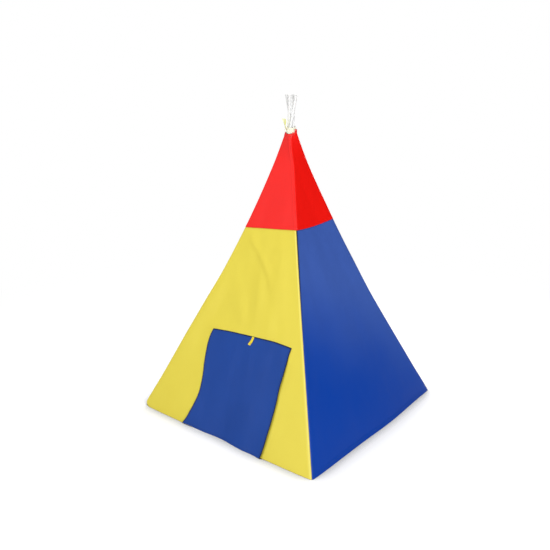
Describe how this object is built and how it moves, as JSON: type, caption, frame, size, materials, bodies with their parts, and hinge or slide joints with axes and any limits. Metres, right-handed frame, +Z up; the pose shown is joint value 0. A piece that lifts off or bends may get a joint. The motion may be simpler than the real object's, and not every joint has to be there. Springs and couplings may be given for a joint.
{
  "type": "kids teepee",
  "caption": "Child's square teepee play tent: crossed jointed poles in the corners of a fitted cloth cover, with a lift-up door flap and a ribbon tied round the poles at the top.",
  "frame": {"origin": "centre of the square base, on the floor", "axes": "+Z up along the middle of the tent; -Y is the side with the door; +X is to the right of someone facing the door"},
  "size_m": [1, 1.0079, 1.4506],
  "materials": {
    "cloth_yellow": "matte",
    "cloth_blue": "matte",
    "door_blue": "matte",
    "cloth_red": "matte",
    "ribbon_cream": "matte",
    "pole_white": "satin",
    "connector_dark": "matte",
    "foot_rubber": "matte"
  },
  "bodies": {
    "crown": {"crown_wrap": "ribbon_cream", "crown_knot": "ribbon_cream", "crown_tail_left": "ribbon_cream", "crown_tail_right": "ribbon_cream", "crown_lead": "ribbon_cream"},
    "leg_fl": {"pole_fl_lower": "pole_white", "pole_fl_middle": "pole_white", "pole_fl_upper": "pole_white", "connector_fl_lower": "connector_dark", "connector_fl_upper": "connector_dark", "sleeve_fl": "cloth_blue", "foot_cap_fl": "foot_rubber", "tip_cap_fl": "pole_white"},
    "leg_fr": {"pole_fr_lower": "pole_white", "pole_fr_middle": "pole_white", "pole_fr_upper": "pole_white", "connector_fr_lower": "connector_dark", "connector_fr_upper": "connector_dark", "sleeve_fr": "cloth_yellow", "foot_cap_fr": "foot_rubber", "tip_cap_fr": "pole_white"},
    "leg_br": {"pole_br_lower": "pole_white", "pole_br_middle": "pole_white", "pole_br_upper": "pole_white", "connector_br_lower": "connector_dark", "connector_br_upper": "connector_dark", "sleeve_br": "cloth_blue", "foot_cap_br": "foot_rubber", "tip_cap_br": "pole_white"},
    "leg_bl": {"pole_bl_lower": "pole_white", "pole_bl_middle": "pole_white", "pole_bl_upper": "pole_white", "connector_bl_lower": "connector_dark", "connector_bl_upper": "connector_dark", "sleeve_bl": "cloth_yellow", "foot_cap_bl": "foot_rubber", "tip_cap_bl": "pole_white"},
    "wall_front": {"panel_front": "cloth_yellow", "top_front": "cloth_red", "doorway_binding": "cloth_yellow", "door_tie_inner": "cloth_yellow"},
    "wall_right": {"panel_right": "cloth_blue", "top_right": "cloth_red"},
    "wall_back": {"panel_back": "cloth_yellow", "top_back": "cloth_red"},
    "wall_left": {"panel_left": "cloth_blue", "top_left": "cloth_red"},
    "door": {"door_flap": "door_blue", "door_tie": "cloth_yellow"}
  },
  "joints": [
    {"name": "fold", "type": "hinge", "parent": "crown", "child": "leg_fl", "pos_m": [0, 0, 1.335], "axis": [-0.7071, 0.7071, 0], "range_deg": [-14, 0], "deforming": ["panel_front", "panel_right", "panel_back", "panel_left", "top_front", "top_right", "top_back", "top_left", "doorway_binding", "door_tie_inner"]},
    {"name": "fold_leg_fr", "type": "hinge", "parent": "crown", "child": "leg_fr", "pos_m": [0, 0, 1.335], "axis": [-0.7071, -0.7071, 0], "range_deg": [-14, 0]},
    {"name": "fold_leg_br", "type": "hinge", "parent": "crown", "child": "leg_br", "pos_m": [0, 0, 1.335], "axis": [0.7071, -0.7071, 0], "range_deg": [-14, 0]},
    {"name": "fold_leg_bl", "type": "hinge", "parent": "crown", "child": "leg_bl", "pos_m": [0, 0, 1.335], "axis": [0.7071, 0.7071, 0], "range_deg": [-14, 0]},
    {"name": "fold_wall_front", "type": "hinge", "parent": "crown", "child": "wall_front", "pos_m": [0, 0, 1.335], "axis": [-1, 0, 0], "range_deg": [-10.29, 0]},
    {"name": "fold_wall_right", "type": "hinge", "parent": "crown", "child": "wall_right", "pos_m": [0, 0, 1.335], "axis": [0, -1, 0], "range_deg": [-10.29, 0]},
    {"name": "fold_wall_back", "type": "hinge", "parent": "crown", "child": "wall_back", "pos_m": [0, 0, 1.335], "axis": [1, 0, 0], "range_deg": [-10.29, 0]},
    {"name": "fold_wall_left", "type": "hinge", "parent": "crown", "child": "wall_left", "pos_m": [0, 0, 1.335], "axis": [0, 1, 0], "range_deg": [-10.29, 0]},
    {"name": "door_lift", "type": "hinge", "parent": "wall_front", "child": "door", "pos_m": [0.0345, -0.32168, 0.4275], "axis": [-0.9987, -0.0196, -0.0467], "range_deg": [0, 165]}
  ],
  "couplings": [
    {"joint": "fold_leg_fr", "follows": "fold", "ratio": 1},
    {"joint": "fold_leg_br", "follows": "fold", "ratio": 1},
    {"joint": "fold_leg_bl", "follows": "fold", "ratio": 1},
    {"joint": "fold_wall_front", "follows": "fold", "ratio": 0.735},
    {"joint": "fold_wall_right", "follows": "fold", "ratio": 0.735},
    {"joint": "fold_wall_back", "follows": "fold", "ratio": 0.735},
    {"joint": "fold_wall_left", "follows": "fold", "ratio": 0.735}
  ]
}
